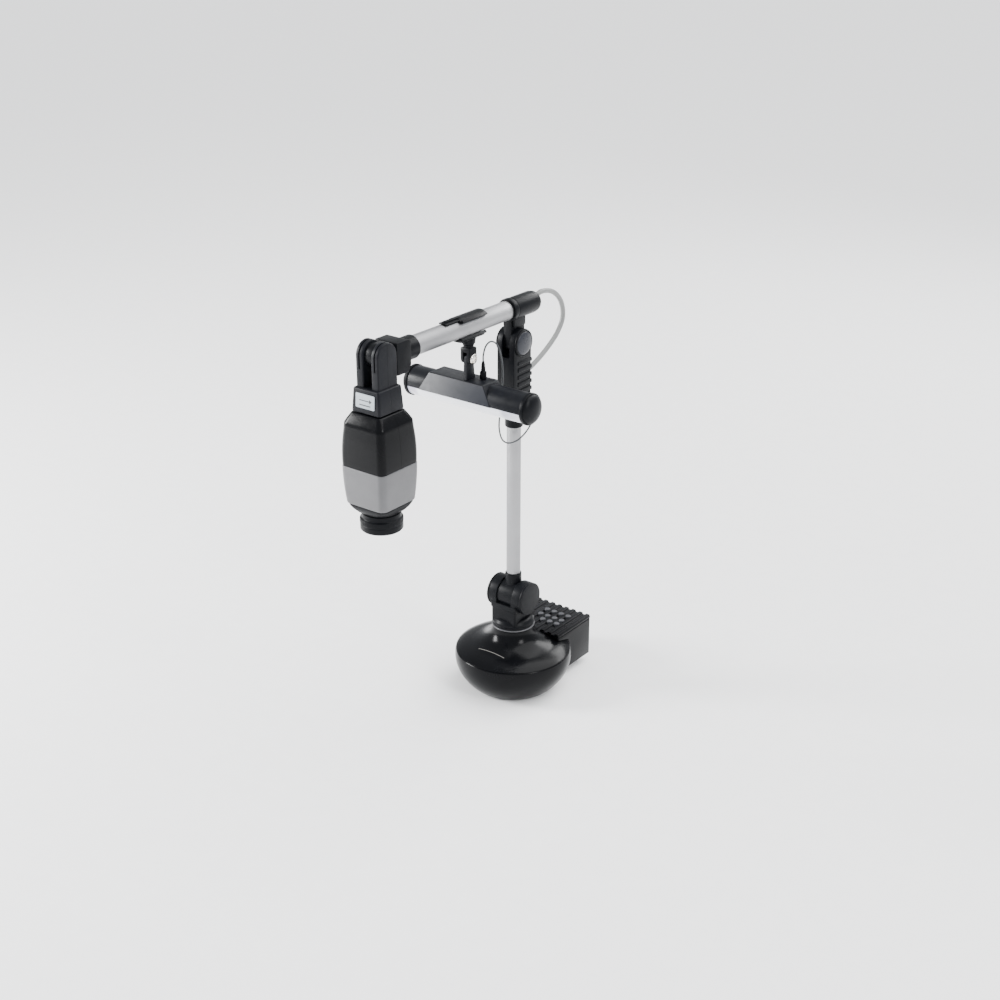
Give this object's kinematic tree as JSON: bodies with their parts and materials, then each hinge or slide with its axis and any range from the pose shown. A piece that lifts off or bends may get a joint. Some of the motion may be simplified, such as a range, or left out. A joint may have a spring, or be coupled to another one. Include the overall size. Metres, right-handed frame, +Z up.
{
  "type": "document camera",
  "caption": "Desktop document camera: weighted round base with a rear keypad box, tilting pole, folding arm, hanging camera head and a clip-on lamp.",
  "frame": {"origin": "centre of the base's foot pad, on the table", "axes": "+Z up along the pole, -Y from the pole to the camera head, +X to the right seen from the camera head's side"},
  "size_m": [0.2152, 0.4345, 0.5949],
  "materials": {
    "gloss_black": "glossy moulded ABS",
    "satin_black": "satin moulded ABS",
    "charcoal": "fine matt texture",
    "hood_grey": "fine matt texture, blue-grey",
    "band_grey": "metallic grey paint",
    "aluminium": "satin anodised",
    "steel": "turned",
    "chrome": "polished",
    "cast_iron": "as cast",
    "rubber": "matt",
    "button_grey": "soft matt",
    "label_grey": "satin",
    "cable_grey": "smooth PVC",
    "wire_grey": "smooth PVC",
    "diffuser_white": "translucent white",
    "tube_white": "phosphor-coated glass",
    "lens_glass": "coated optical glass",
    "board_green": "solder mask"
  },
  "bodies": {
    "base": {"base_top_cover": "gloss_black", "base_bowl": "gloss_black", "foot_pad": "rubber", "ballast_weight": "cast_iron", "swivel_ring": "label_grey", "control_housing": "gloss_black", "ribbed_panel": "gloss_black", "control_board": "board_green", "video_jack": "satin_black", "power_jack": "satin_black"},
    "turret": {"turret_yoke": "satin_black", "swivel_shaft": "steel", "pole_hinge_axle": "steel", "hinge_cap_left": "satin_black", "hinge_cap_right": "satin_black"},
    "pole": {"pole_socket": "satin_black", "pole_tube": "aluminium", "elbow_housing": "satin_black", "elbow_axle": "steel", "elbow_cap_left": "satin_black", "elbow_cap_right": "satin_black", "cable_gland": "satin_black", "wire_gland": "satin_black"},
    "arm": {"arm_knuckle": "satin_black", "arm_tube": "aluminium", "arm_end_block": "satin_black", "arm_cable": "cable_grey"},
    "head_fork": {"fork_front_shell": "charcoal", "fork_rear_shell": "charcoal", "tilt_pin": "steel", "label_plate": "label_grey"},
    "camera_head": {"head_front_shell": "gloss_black", "head_rear_shell": "gloss_black", "head_band": "band_grey", "lens_skirt": "satin_black", "lens_barrel": "satin_black", "sensor_board": "board_green"},
    "focus_ring_body": {"focus_ring": "satin_black", "lens_glass": "lens_glass"},
    "lamp_clip_body": {"lamp_clip": "satin_black"},
    "lamp_bracket_body": {"lamp_bracket": "satin_black", "tilt_screw": "chrome"},
    "lamp": {"lamp_hood": "hood_grey", "lamp_diffuser": "diffuser_white", "lamp_tube": "tube_white", "lamp_cap_left": "satin_black", "lamp_cap_right": "satin_black", "lamp_plug": "satin_black", "lamp_wire": "wire_grey"},
    "menu_button_1_key": {"menu_button_1": "button_grey"},
    "menu_button_2_key": {"menu_button_2": "button_grey"},
    "menu_button_3_key": {"menu_button_3": "button_grey"},
    "menu_button_4_key": {"menu_button_4": "button_grey"},
    "zoom_button_1_key": {"zoom_button_1": "button_grey"},
    "zoom_button_2_key": {"zoom_button_2": "button_grey"},
    "zoom_button_3_key": {"zoom_button_3": "button_grey"},
    "zoom_button_4_key": {"zoom_button_4": "button_grey"},
    "lamp_button_2_key": {"lamp_button_2": "button_grey"},
    "lamp_button_3_key": {"lamp_button_3": "button_grey"},
    "lamp_button_4_key": {"lamp_button_4": "button_grey"}
  },
  "joints": [
    {"name": "base_swivel", "type": "hinge", "parent": "base", "child": "turret", "pos_m": [0, 0, 0.095], "axis": [0, 0, 1], "range_deg": [-150, 150]},
    {"name": "pole_tilt", "type": "hinge", "parent": "turret", "child": "pole", "pos_m": [0, 0, 0.143], "axis": [1, 0, 0], "range_deg": [-20, 45]},
    {"name": "elbow_tilt", "type": "hinge", "parent": "pole", "child": "arm", "pos_m": [0, 0, 0.525], "axis": [1, 0, 0], "range_deg": [-45, 15], "deforming": ["arm_cable"]},
    {"name": "head_tilt", "type": "hinge", "parent": "arm", "child": "head_fork", "pos_m": [0, -0.277, 0.5775], "axis": [1, 0, 0], "range_deg": [-90, 0]},
    {"name": "head_rotation", "type": "hinge", "parent": "head_fork", "child": "camera_head", "pos_m": [0, -0.277, 0.5068], "axis": [0, 0, 1], "range_deg": [-170, 170]},
    {"name": "focus_turn", "type": "hinge", "parent": "camera_head", "child": "focus_ring_body", "pos_m": [0, -0.277, 0.349], "axis": [0, 0, 1], "range_deg": [-120, 120]},
    {"name": "clip_slide", "type": "slide", "parent": "arm", "child": "lamp_clip_body", "axis": [0, 1, 0], "range_m": [-0.055, 0.005]},
    {"name": "lamp_swivel", "type": "hinge", "parent": "lamp_clip_body", "child": "lamp_bracket_body", "pos_m": [0, -0.099, 0.547], "axis": [0, 0, 1], "range_deg": [-30, 30]},
    {"name": "lamp_tilt", "type": "hinge", "parent": "lamp_bracket_body", "child": "lamp", "pos_m": [0, -0.099, 0.527], "axis": [1, 0, 0], "range_deg": [-40, 15], "deforming": ["lamp_wire"]},
    {"name": "menu_button_1_press", "type": "slide", "parent": "base", "child": "menu_button_1_key", "axis": [0, 0, 1], "range_m": [-0.0012, 0], "stiffness_N_per_m": 150},
    {"name": "menu_button_2_press", "type": "slide", "parent": "base", "child": "menu_button_2_key", "axis": [0, 0, 1], "range_m": [-0.0012, 0], "stiffness_N_per_m": 150},
    {"name": "menu_button_3_press", "type": "slide", "parent": "base", "child": "menu_button_3_key", "axis": [0, 0, 1], "range_m": [-0.0012, 0], "stiffness_N_per_m": 150},
    {"name": "menu_button_4_press", "type": "slide", "parent": "base", "child": "menu_button_4_key", "axis": [0, 0, 1], "range_m": [-0.0012, 0], "stiffness_N_per_m": 150},
    {"name": "zoom_button_1_press", "type": "slide", "parent": "base", "child": "zoom_button_1_key", "axis": [0, 0, 1], "range_m": [-0.0012, 0], "stiffness_N_per_m": 150},
    {"name": "zoom_button_2_press", "type": "slide", "parent": "base", "child": "zoom_button_2_key", "axis": [0, 0, 1], "range_m": [-0.0012, 0], "stiffness_N_per_m": 150},
    {"name": "zoom_button_3_press", "type": "slide", "parent": "base", "child": "zoom_button_3_key", "axis": [0, 0, 1], "range_m": [-0.0012, 0], "stiffness_N_per_m": 150},
    {"name": "zoom_button_4_press", "type": "slide", "parent": "base", "child": "zoom_button_4_key", "axis": [0, 0, 1], "range_m": [-0.0012, 0], "stiffness_N_per_m": 150},
    {"name": "lamp_button_2_press", "type": "slide", "parent": "base", "child": "lamp_button_2_key", "axis": [0, 0, 1], "range_m": [-0.0012, 0], "stiffness_N_per_m": 150},
    {"name": "lamp_button_3_press", "type": "slide", "parent": "base", "child": "lamp_button_3_key", "axis": [0, 0, 1], "range_m": [-0.0012, 0], "stiffness_N_per_m": 150},
    {"name": "lamp_button_4_press", "type": "slide", "parent": "base", "child": "lamp_button_4_key", "axis": [0, 0, 1], "range_m": [-0.0012, 0], "stiffness_N_per_m": 150}
  ]
}
